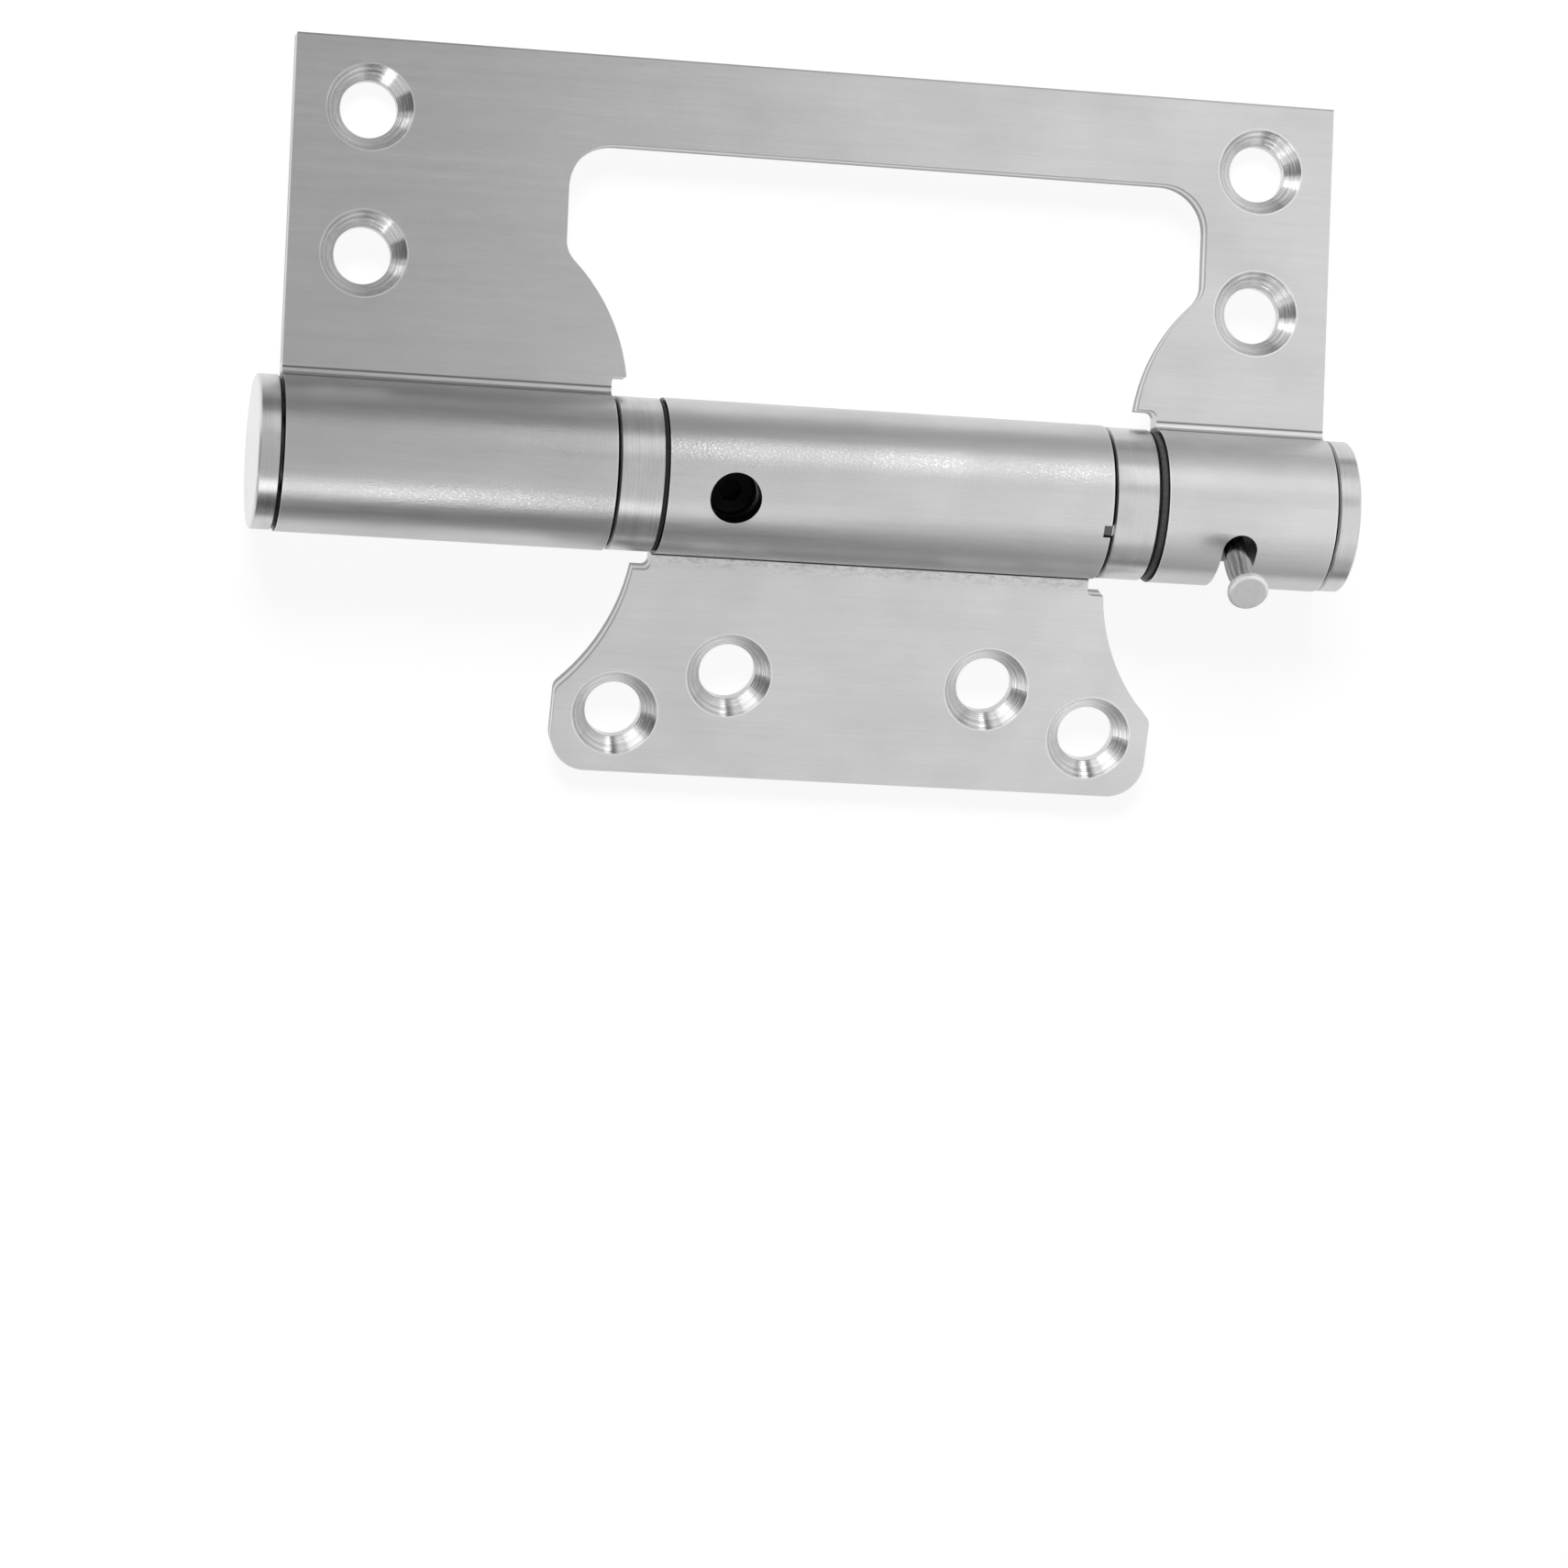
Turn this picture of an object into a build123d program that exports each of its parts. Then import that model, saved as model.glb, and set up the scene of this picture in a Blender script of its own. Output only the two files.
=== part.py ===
from build123d import *
import os
from math import asin, cos, degrees, radians, sin, sqrt

os.makedirs("parts", exist_ok=True)

# Flush hydraulic door hinge, lying open on its barrel and the far edges of both leaves.
# X runs along the barrel, Y towards the outer leaf, Z up from the surface it lies on.
# All lengths are in millimetres and all angles in degrees.

# Leaves and barrel
sheet = 3.0
barrel_radius = 9.3
outer_depth = 49.7
inner_depth = 36.9
side_gap = 2.4
end_gap = 2.2
crease_radius = 0.75
curl_slit = 0.25
curl_seat = 0.05

# Stations along the barrel
left_knuckle = 39.15
left_collar_width = 5.55
middle_knuckle = 53.85
right_collar_width = 5.5
right_knuckle = 20.9
nylon_thickness = 0.95
thrust_thickness = 0.3
cap_thickness = 2.7
cap_spigot = 1.6
collar_drop = 0.15
washer_drop = 0.35

# Plate outlines
neck_reach = 2.1
notch_radius = 0.8
head_overhang = 9.925
waist_radius = 25.4
waist_step = 1.875
waist_height = 8.3
inner_shoulder = 1.6
window_shoulder = 3.3
inner_corner = 4.4
window_corner = 5.5

# Screw holes
hole_radius = 3.45
sink_radius = 5.15
sink_angle = 90.0
outer_hole_side = 9.0
outer_hole_edge = 8.3
outer_hole_row = 17.4
inner_hole_side = 7.45
inner_hole_edge = 7.4
inner_hole_row = 5.5
inner_near_across = 31.9

# Side hole, key notch and winding slot
side_hole_radius = 3.1
side_hole_station = 8.05
side_hole_angle = 101.0
key_angle = 109.0
key_width = 1.5
key_length = 0.9
key_clearance = 0.1
slot_station = 9.4
slot_width = 4.2
slot_start = 118.6
slot_sweep = 120.0

# Fits
press_gap = 0.02
running_gap = 0.05
face_gap = 0.1
ring_gap = 0.3
edge_break = 0.25

# Damper
cylinder_wall = 1.3
cylinder_end = 2.0
gland_reach = 5.5
gland_seat = 1.3
sleeve_wall = 1.63
piston_head = 4.5
piston_rest_gap = 0.4
stroke_spare = 1.4
slot_margin = 1.9
cross_pin_radius = 1.0
cross_pin_gap = 0.1
cross_pin_short = 0.4
guide_key_width = 1.8
guide_key_height = 0.6
guide_key_length = 2.4
port_radius = 0.9
port_length = 0.9
check_ball_radius = 1.2
ball_gap = 0.3
ball_play = 0.15
retainer_thickness = 0.6
retainer_notch = 0.7
bleed_radius = 0.35
bleed_offset = 3.0
seal_section = 0.6
seal_play = 0.05
clip_thickness = 0.8
clip_reach = 1.2
clip_groove = 0.5
clip_pocket = 2.4
square_drop = 0.9
square_length = 12.0

# Spring and drive plug
plug_length = 15.0
grub_drop = 0.2
grub_sink = 1.16
hex_across = 2.5
hex_depth = 1.6
wire_width = 2.0
wire_height = 1.6
spring_clearance = 0.35
spring_end_gap = 0.1
coil_gap = 0.93
tang_length = 1.8
tang_width = 1.8
tang_gap = 0.1

# Winding gear
spigot_length = 5.0
spindle_radius = 3.5
spindle_flange = 3.0
mandrel_gap = 12.75
nylon_bore = 5.0
drum_square = 4.8
drum_square_length = 6.0
drum_holes = 5
drum_hole_floor = 2.7
screw_radius = 1.5
screw_length = 11.0
screw_head_radius = 2.6
screw_head_height = 2.4

# Tension pin
pin_radius = 1.4
pin_offset = 0.35
pin_lead = 3.1
pin_tip_gap = 0.2
pin_stand = 6.9
pin_head_radius = 2.45
pin_head_height = 0.95
pin_edge = 0.3

# Resting pose: both far edges and the barrel lie on the same surface
half_sheet = sheet / 2


def droop(depth):
    """Angle below the horizontal at which a leaf's far lower edge reaches the surface"""
    reach = sqrt(depth**2 + half_sheet**2)
    return degrees(asin(barrel_radius / reach) - asin(half_sheet / reach))


outer_droop = droop(outer_depth)
inner_droop = droop(inner_depth)
outer_reach = outer_depth * cos(radians(outer_droop)) + half_sheet * sin(radians(outer_droop))
inner_reach = inner_depth * cos(radians(inner_droop)) + half_sheet * sin(radians(inner_droop))
axis_y = (inner_reach - outer_reach) / 2
swing_angle = 180 + outer_droop + inner_droop
barrel_axis = Axis((0, axis_y, barrel_radius), (1, 0, 0))

# Radii and angles shared by several pieces
knuckle_bore = barrel_radius - sheet
knuckle_fit = knuckle_bore - press_gap
collar_radius = barrel_radius - collar_drop
washer_radius = barrel_radius - washer_drop
pin_angle = slot_start + pin_lead

# Stations from left to right
collars = left_collar_width + right_collar_width + 2 * ring_gap
washers = thrust_thickness + nylon_thickness + 2 * face_gap
leaf_length = left_knuckle + middle_knuckle + right_knuckle + collars + washers
left_end = -leaf_length / 2
right_end = leaf_length / 2
left_knuckle_end = left_end + left_knuckle
left_collar_from = left_knuckle_end + ring_gap
left_collar_to = left_collar_from + left_collar_width
thrust_to = left_collar_to + thrust_thickness
middle_from = thrust_to + face_gap
middle_to = middle_from + middle_knuckle
right_collar_from = middle_to + ring_gap
right_collar_to = right_collar_from + right_collar_width
nylon_from = right_collar_to + face_gap
right_knuckle_from = nylon_from + nylon_thickness
leaf_middle = (middle_from + middle_to) / 2
neck_end = barrel_radius + neck_reach
inner_half_width = middle_knuckle / 2 + head_overhang
waist_offset = middle_knuckle / 2 + waist_step + waist_radius


def outward(angle):
    """Direction away from the barrel's axis at this angle from +Y towards +Z"""
    return (0, cos(radians(angle)), sin(radians(angle)))


def section_plane(x, angle=0.0):
    """Cross-section of the barrel at station x, local X out at this angle"""
    return Plane(origin=(x, axis_y, barrel_radius), x_dir=outward(angle), z_dir=(1, 0, 0))


def facing_plane(x, angle, distance=0.0):
    """Plane at station x facing out at this angle, this far off the axis, local X along it"""
    origin = (x, axis_y, barrel_radius)
    return Plane(origin=origin, x_dir=(1, 0, 0), z_dir=outward(angle)).offset(distance)


def half_plane(x, angle):
    """Plane through the axis: local X along it, local Y out at this angle"""
    origin = (x, axis_y, barrel_radius)
    return Plane(origin=origin, x_dir=(1, 0, 0), z_dir=outward(angle + 90))


# Each leaf's plane holds its middle surface: local X along the barrel, local Y away from it
outer_plane = Plane(
    origin=(0, axis_y, barrel_radius),
    x_dir=(1, 0, 0),
    z_dir=outward(90 - outer_droop),
)
inner_plane = Plane(
    origin=(0, axis_y, barrel_radius),
    x_dir=(-1, 0, 0),
    z_dir=outward(90 + inner_droop),
)


def turn(*points, mode=Mode.ADD):
    """Turned body round the barrel's axis from (station, radius) points"""
    with BuildSketch(half_plane(0, 90)) as profile:
        with BuildLine():
            Polyline(*points, close=True)
        make_face()
    revolve(profile.sketch, axis=barrel_axis, mode=mode)


def ring(x_from, x_to, inside, outside, mode=Mode.ADD):
    """Plain turned ring, or a disc where inside is zero"""
    turn((x_from, inside), (x_to, inside), (x_to, outside), (x_from, outside), mode=mode)


def broken_ring(x_from, x_to, inside, outside):
    """Turned ring with both outer rims broken"""
    turn(
        (x_from, inside),
        (x_to, inside),
        (x_to, outside - edge_break),
        (x_to - edge_break, outside),
        (x_from + edge_break, outside),
        (x_from, outside - edge_break),
    )


def seal(x, middle_radius):
    """Round-section rubber ring"""
    with BuildSketch(half_plane(x, 90)) as profile:
        with Locations((0, middle_radius)):
            Circle(seal_section)
    revolve(profile.sketch, axis=barrel_axis)


def radial_bore(x, angle, radius, bottom):
    """Hole square to the barrel's axis, open outwards from this distance off the axis"""
    with BuildSketch(facing_plane(x, angle, bottom)) as mouth:
        Circle(radius)
    extrude(mouth.sketch, amount=barrel_radius + sheet, mode=Mode.SUBTRACT)


def square_rod(x_from, x_to, side, angle, mode=Mode.ADD):
    """Square bar on the barrel's axis, one flat facing this angle"""
    with BuildSketch(section_plane(x_from, angle)) as square:
        Rectangle(side, side)
    extrude(square.sketch, amount=x_to - x_from, mode=mode)


def tongue(middle, half_width, depth, radius, shoulder, corner):
    """Waisted plate outline: the inner leaf's, and with wider values the window's"""
    with Locations((middle, (neck_end + depth) / 2)):
        Rectangle(2 * half_width, depth - neck_end)
    with Locations((middle - waist_offset, waist_height), (middle + waist_offset, waist_height)):
        Circle(radius, mode=Mode.SUBTRACT)
    fillet(vertices().sort_by(Axis.Y)[-2:], corner)
    for side in (0, -1):
        fillet(vertices().group_by(Axis.X)[side].sort_by(Axis.Y)[0], shoulder)


def rolled_knuckle(x_from, x_to, angle):
    """Sheet rolled back on itself: neck out at this angle, crease on one side, slit on the other"""
    crease = (sqrt(barrel_radius**2 - half_sheet**2), half_sheet)
    with BuildSketch(section_plane(x_from, angle)) as profile:
        Circle(barrel_radius)
        with Locations((neck_end / 2, 0)):
            Rectangle(neck_end, sheet)
        fillet(vertices().sort_by_distance(crease)[0], crease_radius)
        Circle(knuckle_bore, mode=Mode.SUBTRACT)
        with Locations((barrel_radius, curl_seat - half_sheet)):
            Rectangle(barrel_radius, curl_slit + curl_seat, align=(Align.MAX, Align.MAX), mode=Mode.SUBTRACT)
    extrude(profile.sketch, amount=x_to - x_from)


def notch_edge(part, plane, station):
    """Inner corner of the relief notch beside a knuckle"""
    corner = plane.from_local_coords(Vector(station, neck_end, 0))
    return part.edges().filter_by(Axis(plane.origin, plane.z_dir)).sort_by_distance(corner)[0]


def end_cap(end, side):
    """Turned cap with a spigot in the knuckle, side -1 at the left and 1 at the right"""
    inner = end + side * ring_gap
    outer = inner + side * cap_thickness
    turn(
        (outer, 0),
        (outer, collar_radius - edge_break),
        (outer - side * edge_break, collar_radius),
        (inner + side * edge_break, collar_radius),
        (inner, collar_radius - edge_break),
        (inner, knuckle_fit),
        (end - side * cap_spigot, knuckle_fit),
        (end - side * cap_spigot, 0),
    )


# Outer leaf with its window, two knuckles, screw holes and winding slot
slot_x = right_knuckle_from + slot_station
outer_hole_x = leaf_length / 2 - outer_hole_side
outer_hole_far = outer_depth - outer_hole_edge
outer_hole_near = outer_hole_far - outer_hole_row
with BuildPart() as outer_leaf:
    with BuildSketch(outer_plane):
        with Locations((0, (neck_end + outer_depth) / 2)):
            Rectangle(leaf_length, outer_depth - neck_end)
    extrude(amount=half_sheet, both=True)
    with BuildSketch(outer_plane):
        tongue(
            leaf_middle,
            inner_half_width + side_gap,
            inner_depth + end_gap,
            waist_radius - side_gap,
            window_shoulder,
            window_corner,
        )
    extrude(amount=sheet, both=True, mode=Mode.SUBTRACT)
    rolled_knuckle(left_end, left_knuckle_end, -outer_droop)
    rolled_knuckle(right_knuckle_from, right_end, -outer_droop)
    for station in (left_knuckle_end, right_knuckle_from):
        fillet(notch_edge(outer_leaf, outer_plane, station), notch_radius)
    with Locations(outer_plane.offset(half_sheet)):
        with Locations(
            (-outer_hole_x, outer_hole_near),
            (-outer_hole_x, outer_hole_far),
            (outer_hole_x, outer_hole_near),
            (outer_hole_x, outer_hole_far),
        ):
            CounterSinkHole(hole_radius, sink_radius, 2 * sheet, sink_angle)
    with BuildSketch(half_plane(slot_x, slot_start)):
        with Locations((0, barrel_radius)):
            Rectangle(slot_width, 2 * sheet + 2 * ring_gap)
    revolve(axis=barrel_axis, revolution_arc=slot_sweep, mode=Mode.SUBTRACT)
    for angle in (slot_start, slot_start + slot_sweep):
        radial_bore(slot_x, angle, slot_width / 2, knuckle_bore / 2)
outer_leaf.part.label = "outer_leaf"
export_step(outer_leaf.part, "parts/outer_leaf.step")

# Inner leaf with the middle knuckle, screw holes, side hole and key notch
side_hole_x = middle_from + side_hole_station
inner_hole_far = inner_depth - inner_hole_edge
inner_hole_near = inner_hole_far - inner_hole_row
inner_far_x = inner_half_width - inner_hole_side
with BuildPart() as inner_leaf:
    with BuildSketch(inner_plane):
        tongue(
            -leaf_middle,
            inner_half_width,
            inner_depth,
            waist_radius,
            inner_shoulder,
            inner_corner,
        )
    extrude(amount=half_sheet, both=True)
    rolled_knuckle(middle_from, middle_to, 180 + inner_droop)
    for station in (-middle_from, -middle_to):
        fillet(notch_edge(inner_leaf, inner_plane, station), notch_radius)
    with Locations(inner_plane.offset(half_sheet)):
        with Locations(
            (-leaf_middle - inner_near_across / 2, inner_hole_near),
            (-leaf_middle + inner_near_across / 2, inner_hole_near),
            (-leaf_middle - inner_far_x, inner_hole_far),
            (-leaf_middle + inner_far_x, inner_hole_far),
        ):
            CounterSinkHole(hole_radius, sink_radius, 2 * sheet, sink_angle)
    radial_bore(side_hole_x, side_hole_angle, side_hole_radius, knuckle_bore / 2)
    with BuildSketch(facing_plane(middle_to - key_length / 2, key_angle, knuckle_bore / 2)):
        Rectangle(key_length, key_width)
    extrude(amount=barrel_radius, mode=Mode.SUBTRACT)
inner_leaf.part.label = "inner_leaf"
export_step(inner_leaf.part, "parts/inner_leaf.step")

# End caps
with BuildPart() as left_end_cap:
    end_cap(left_end, -1)
left_end_cap.part.label = "left_end_cap"
export_step(left_end_cap.part, "parts/left_end_cap.step")

with BuildPart() as right_end_cap:
    end_cap(right_end, 1)
right_end_cap.part.label = "right_end_cap"
export_step(right_end_cap.part, "parts/right_end_cap.step")

# Damper cylinder: closed at the left, counterbored for the gland, keyway up to the counterbore
cylinder_bore = knuckle_fit - cylinder_wall
piston_radius = cylinder_bore - running_gap
sleeve_bore = piston_radius - sleeve_wall
shaft_radius = sleeve_bore - ring_gap
keyway_depth = guide_key_height + running_gap
mouth_radius = cylinder_bore + keyway_depth + running_gap
cylinder_from = left_end + cap_spigot
cylinder_to = left_knuckle_end - gland_seat
gland_from = cylinder_to - gland_reach
chamber_from = cylinder_from + cylinder_end
chamber = gland_from - chamber_from
piston_stroke = (chamber - piston_head - piston_rest_gap - 2 * slot_margin - stroke_spare) / 2
sleeve_to = gland_from - piston_rest_gap
sleeve_from = sleeve_to - piston_stroke - 2 * slot_margin
piston_from = sleeve_from - piston_head
cross_pin_x = sleeve_from + slot_margin
guide_key_angle = side_hole_angle - swing_angle + 90
keyway_from = sleeve_to - guide_key_length - piston_stroke - ring_gap
with BuildPart() as damper_cylinder:
    turn(
        (cylinder_from, 0),
        (chamber_from, 0),
        (chamber_from, cylinder_bore),
        (gland_from, cylinder_bore),
        (gland_from, mouth_radius),
        (cylinder_to, mouth_radius),
        (cylinder_to, knuckle_fit),
        (cylinder_from, knuckle_fit),
    )
    with BuildSketch(facing_plane((keyway_from + gland_from) / 2, guide_key_angle)):
        Rectangle(gland_from - keyway_from, guide_key_width + 2 * running_gap)
    extrude(amount=cylinder_bore + keyway_depth, mode=Mode.SUBTRACT)
damper_cylinder.part.label = "damper_cylinder"
export_step(damper_cylinder.part, "parts/damper_cylinder.step")

# Left collar: gland of the damper with a flange that shows between the knuckles
seal_groove = 2 * (seal_section + seal_play)
shaft_seal_x = gland_from + seal_groove
gland_seal_x = shaft_seal_x + 2 * seal_groove - 2 * seal_play
clip_floor = left_collar_to - clip_pocket
clip_pocket_radius = shaft_radius + clip_reach + ring_gap
with BuildPart() as left_collar:
    turn(
        (gland_from, shaft_radius + running_gap),
        (gland_from, mouth_radius - press_gap),
        (cylinder_to, mouth_radius - press_gap),
        (cylinder_to, knuckle_fit),
        (left_collar_from, knuckle_fit),
        (left_collar_from, collar_radius - edge_break),
        (left_collar_from + edge_break, collar_radius),
        (left_collar_to - edge_break, collar_radius),
        (left_collar_to, collar_radius - edge_break),
        (left_collar_to, clip_pocket_radius),
        (clip_floor, clip_pocket_radius),
        (clip_floor, shaft_radius + running_gap),
    )
    ring(
        shaft_seal_x - seal_groove / 2,
        shaft_seal_x + seal_groove / 2,
        shaft_radius,
        shaft_radius + seal_groove,
        mode=Mode.SUBTRACT,
    )
    ring(
        gland_seal_x - seal_groove / 2,
        gland_seal_x + seal_groove / 2,
        mouth_radius - seal_groove,
        mouth_radius,
        mode=Mode.SUBTRACT,
    )
left_collar.part.label = "left_collar"
export_step(left_collar.part, "parts/left_collar.step")

with BuildPart() as shaft_seal:
    seal(shaft_seal_x, shaft_radius + seal_section + seal_play)
shaft_seal.part.label = "shaft_seal"
export_step(shaft_seal.part, "parts/shaft_seal.step")

with BuildPart() as gland_seal:
    seal(gland_seal_x, mouth_radius - seal_section - seal_play)
gland_seal.part.label = "gland_seal"
export_step(gland_seal.part, "parts/gland_seal.step")

# Thin washer on the left collar's face, beside the middle knuckle
with BuildPart() as thrust_washer:
    ring(left_collar_to, thrust_to, knuckle_bore, washer_radius)
thrust_washer.part.label = "thrust_washer"
export_step(thrust_washer.part, "parts/thrust_washer.step")

# Black washer on the right knuckle's face, beside the right collar
with BuildPart() as nylon_washer:
    ring(nylon_from, right_knuckle_from, nylon_bore, washer_radius)
nylon_washer.part.label = "nylon_washer"
export_step(nylon_washer.part, "parts/nylon_washer.step")

# Piston: head with a one-way valve, sleeve with two helical slots and a guide key
slot_lead = piston_stroke * 360 / swing_angle
slot_mean_radius = (sleeve_bore + cylinder_bore) / 2
pin_slot_radius = cross_pin_radius + cross_pin_gap
ring_groove_x = piston_from + piston_head / 2
ball_pocket = check_ball_radius + ball_gap
key_root = sleeve_bore + ring_gap
with BuildPart() as piston:
    turn(
        (piston_from, 0),
        (sleeve_from, 0),
        (sleeve_from, sleeve_bore),
        (sleeve_to, sleeve_bore),
        (sleeve_to, piston_radius),
        (piston_from, piston_radius),
    )
    ring(
        ring_groove_x - seal_groove / 2,
        ring_groove_x + seal_groove / 2,
        cylinder_bore - seal_groove,
        cylinder_bore,
        mode=Mode.SUBTRACT,
    )
    turn(
        (piston_from, 0),
        (piston_from, ball_pocket),
        (sleeve_from - port_length - ball_pocket + port_radius, ball_pocket),
        (sleeve_from - port_length, port_radius),
        (sleeve_from, port_radius),
        (sleeve_from, 0),
        mode=Mode.SUBTRACT,
    )
    with BuildSketch(section_plane(piston_from)):
        with Locations((bleed_offset, 0)):
            Circle(bleed_radius)
    extrude(amount=piston_head, mode=Mode.SUBTRACT)
    for start in (side_hole_angle, side_hole_angle + 180):
        path = Edge.make_helix(slot_lead, piston_stroke, slot_mean_radius, lefthand=True)
        path = path.moved(section_plane(cross_pin_x, start).location)
        with BuildSketch(Plane(origin=path @ 0, x_dir=outward(start), z_dir=path % 0)):
            Rectangle(2 * (cylinder_bore - sleeve_bore), 2 * pin_slot_radius)
        sweep(path=path, is_frenet=True, mode=Mode.SUBTRACT)
        radial_bore(cross_pin_x, start, pin_slot_radius, sleeve_bore / 2)
        radial_bore(cross_pin_x + piston_stroke, start - swing_angle, pin_slot_radius, sleeve_bore / 2)
    with BuildSketch(facing_plane(sleeve_to - guide_key_length / 2, guide_key_angle, key_root)):
        Rectangle(guide_key_length, guide_key_width)
    extrude(amount=cylinder_bore + guide_key_height - key_root)
piston.part.label = "piston"
export_step(piston.part, "parts/piston.step")

with BuildPart() as piston_ring:
    seal(ring_groove_x, cylinder_bore - seal_section - seal_play)
piston_ring.part.label = "piston_ring"
export_step(piston_ring.part, "parts/piston_ring.step")

# Ball of the one-way valve and the notched ring that traps it
with BuildPart() as check_ball:
    with Locations(section_plane(piston_from + retainer_thickness + ball_play + check_ball_radius)):
        Sphere(check_ball_radius)
check_ball.part.label = "check_ball"
export_step(check_ball.part, "parts/check_ball.step")

with BuildPart() as ball_retainer:
    ring(piston_from, piston_from + retainer_thickness, port_radius, ball_pocket - press_gap)
    with BuildSketch(section_plane(piston_from)):
        Rectangle(2 * check_ball_radius, retainer_notch)
    extrude(amount=retainer_thickness, mode=Mode.SUBTRACT)
ball_retainer.part.label = "ball_retainer"
export_step(ball_retainer.part, "parts/ball_retainer.step")

# Damper shaft: round through the gland, square in the drive plug
square_side = 2 * (shaft_radius - square_drop)
square_to = middle_from + square_length
clip_to = clip_floor + clip_thickness
with BuildPart() as damper_shaft:
    ring(sleeve_from + ring_gap, middle_from, 0, shaft_radius)
    square_rod(middle_from, square_to, square_side, side_hole_angle)
    ring(
        clip_floor,
        clip_to + 2 * face_gap,
        shaft_radius - clip_groove,
        shaft_radius + ring_gap,
        mode=Mode.SUBTRACT,
    )
    with BuildSketch(facing_plane(cross_pin_x, side_hole_angle)):
        Circle(cross_pin_radius + press_gap)
    extrude(amount=2 * shaft_radius, both=True, mode=Mode.SUBTRACT)
damper_shaft.part.label = "damper_shaft"
export_step(damper_shaft.part, "parts/damper_shaft.step")

with BuildPart() as cross_pin:
    with BuildSketch(facing_plane(cross_pin_x, side_hole_angle)):
        Circle(cross_pin_radius)
    extrude(amount=piston_radius - cross_pin_short, both=True)
cross_pin.part.label = "cross_pin"
export_step(cross_pin.part, "parts/cross_pin.step")

with BuildPart() as shaft_clip:
    ring(
        clip_floor + face_gap,
        clip_to + face_gap,
        shaft_radius - clip_groove + press_gap,
        shaft_radius + clip_reach,
    )
shaft_clip.part.label = "shaft_clip"
export_step(shaft_clip.part, "parts/shaft_clip.step")

# Spring's coil and tangs, and the open pockets that hold the tangs
plug_to = middle_from + plug_length
spigot_from = middle_to - spigot_length
flange_to = spigot_from - face_gap
flange_from = flange_to - spindle_flange
coil_outside = knuckle_bore - spring_clearance
coil_inside = coil_outside - wire_height
coil_middle = (coil_outside + coil_inside) / 2
coil_from = plug_to + spring_end_gap + wire_width / 2
coil_to = flange_from - spring_end_gap - wire_width / 2
spring_turns = int((coil_to - coil_from) / (wire_width + coil_gap)) + 0.75
left_tang_angle = side_hole_angle + 180
right_tang_angle = left_tang_angle - 360 * spring_turns


def tang(x, side, angle):
    """Tang from an end coil at station x, side -1 to the left and 1 to the right"""
    with BuildSketch(section_plane(x, angle)) as profile:
        with Locations((coil_middle, 0)):
            Rectangle(wire_height, tang_width)
    extrude(profile.sketch, amount=side * (wire_width / 2 + spring_end_gap + tang_length))


def tang_pocket(x, side, angle):
    """Pocket for a tang in the face at station x, open at the rim"""
    inside = coil_inside - tang_gap
    with BuildSketch(section_plane(x, angle)) as profile:
        with Locations(((inside + knuckle_bore) / 2, 0)):
            Rectangle(knuckle_bore - inside, tang_width + 2 * tang_gap)
    extrude(profile.sketch, amount=side * (tang_length + tang_gap), mode=Mode.SUBTRACT)


with BuildPart() as torsion_spring:
    coil_pitch = (coil_to - coil_from) / spring_turns
    coil = Edge.make_helix(coil_pitch, coil_to - coil_from, coil_middle, lefthand=True)
    coil = coil.moved(section_plane(coil_from, left_tang_angle).location)
    with BuildSketch(Plane(origin=coil @ 0, x_dir=outward(left_tang_angle), z_dir=coil % 0)):
        Rectangle(wire_height, wire_width)
    sweep(path=coil, is_frenet=True)
    tang(coil_from, -1, left_tang_angle)
    tang(coil_to, 1, right_tang_angle)
torsion_spring.part.label = "torsion_spring"
export_step(torsion_spring.part, "parts/torsion_spring.step")

# Drive plug: square bore for the shaft, tapped hole for the grub screw, pocket for the spring
grub_radius = side_hole_radius - grub_drop
grub_seat = square_side / 2 + press_gap
grub_length = knuckle_fit - grub_sink - grub_seat
with BuildPart() as drive_plug:
    ring(middle_from, plug_to, 0, knuckle_fit)
    square_rod(
        middle_from,
        square_to + face_gap,
        2 * grub_seat,
        side_hole_angle,
        mode=Mode.SUBTRACT,
    )
    radial_bore(side_hole_x, side_hole_angle, grub_radius + press_gap, grub_seat)
    tang_pocket(plug_to, -1, left_tang_angle)
drive_plug.part.label = "drive_plug"
export_step(drive_plug.part, "parts/drive_plug.step")

with BuildPart() as grub_screw:
    with BuildSketch(facing_plane(side_hole_x, side_hole_angle, grub_seat)):
        Circle(grub_radius)
    extrude(amount=grub_length)
    chamfer(grub_screw.edges().filter_by(GeomType.CIRCLE), edge_break)
    with BuildSketch(facing_plane(side_hole_x, side_hole_angle, grub_seat + grub_length)):
        RegularPolygon(hex_across / 2, 6, major_radius=False)
    extrude(amount=-hex_depth, mode=Mode.SUBTRACT)
grub_screw.part.label = "grub_screw"
export_step(grub_screw.part, "parts/grub_screw.step")

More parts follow.
